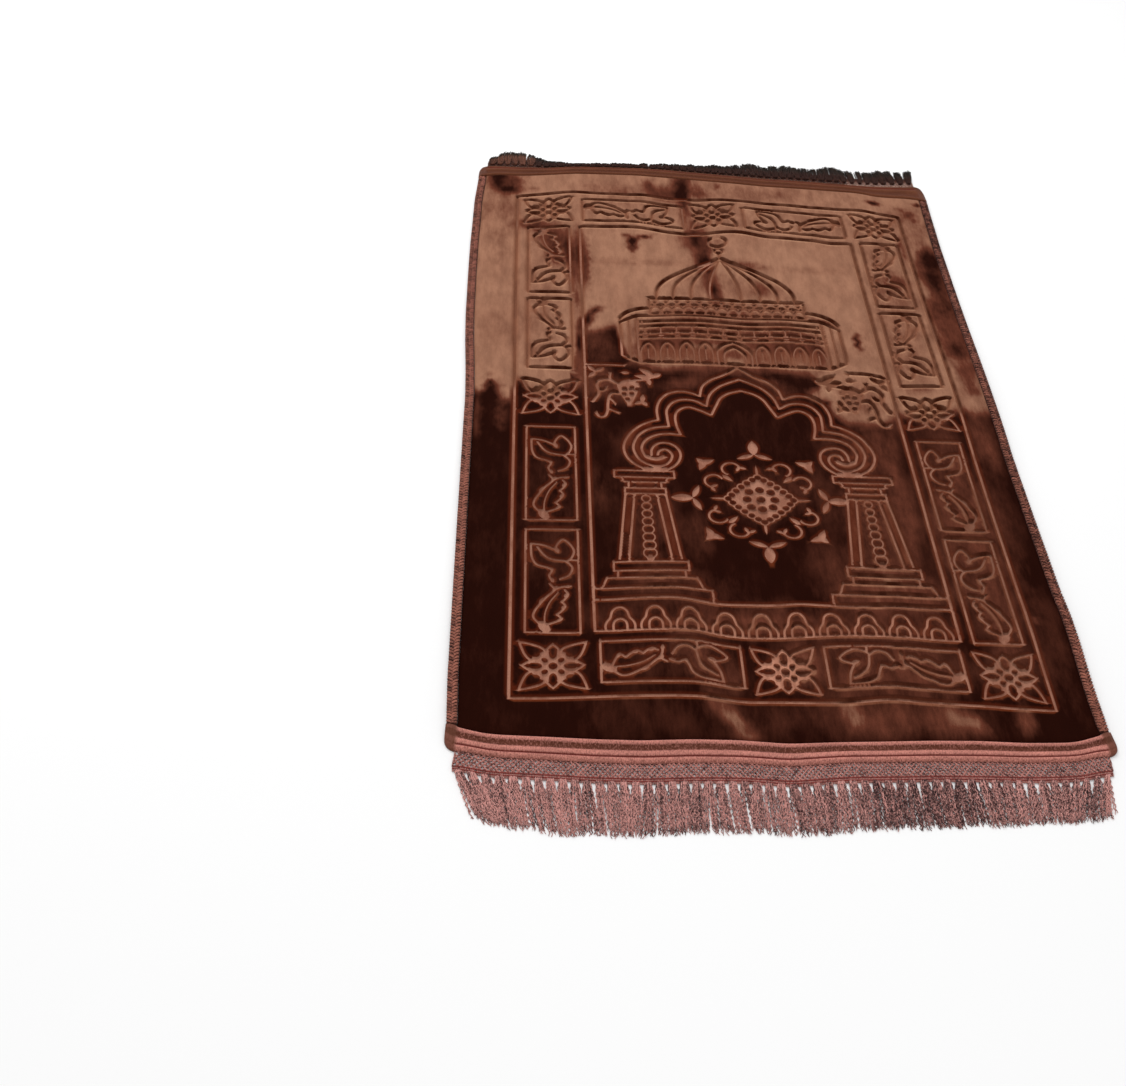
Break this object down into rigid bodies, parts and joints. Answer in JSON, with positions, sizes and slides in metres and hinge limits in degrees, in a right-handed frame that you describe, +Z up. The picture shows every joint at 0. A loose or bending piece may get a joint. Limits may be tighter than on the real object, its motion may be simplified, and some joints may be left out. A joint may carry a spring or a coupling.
{
  "type": "prayer rug",
  "caption": "Pressed-velour prayer rug lying flat, with an embossed arch, columns and domed hall, braided edge bindings, ribbed end tapes and a netted tassel fringe at each end.",
  "frame": {"origin": "on the floor, under the middle of the whole rug with its fringes", "axes": "+Y along the rug towards its dome end, +X to the right seen from the near end, +Z up out of the pile"},
  "size_m": [0.7, 1.293, 0.0115],
  "materials": {
    "pile_cloth": "short lustrous velour pile, brushed light and dark, with a pressed pattern",
    "binding_left": "herringbone braid of copper-pink yarn",
    "binding_right": "herringbone braid of copper-pink yarn",
    "end_tape_near": "ribbed tape of copper-pink yarn with a satin valley",
    "end_tape_far": "ribbed tape of copper-brown yarn with a satin valley",
    "fringe_near": "netted heading and frayed yarn tassels, copper pink",
    "fringe_far": "netted heading and frayed yarn tassels, dark brown"
  },
  "bodies": {
    "root": {"pile_cloth": "pile_cloth", "binding_left": "binding_left", "binding_right": "binding_right", "end_tape_near": "end_tape_near", "end_tape_far": "end_tape_far", "fringe_near": "fringe_near", "fringe_far": "fringe_far"}
  },
  "joints": []
}
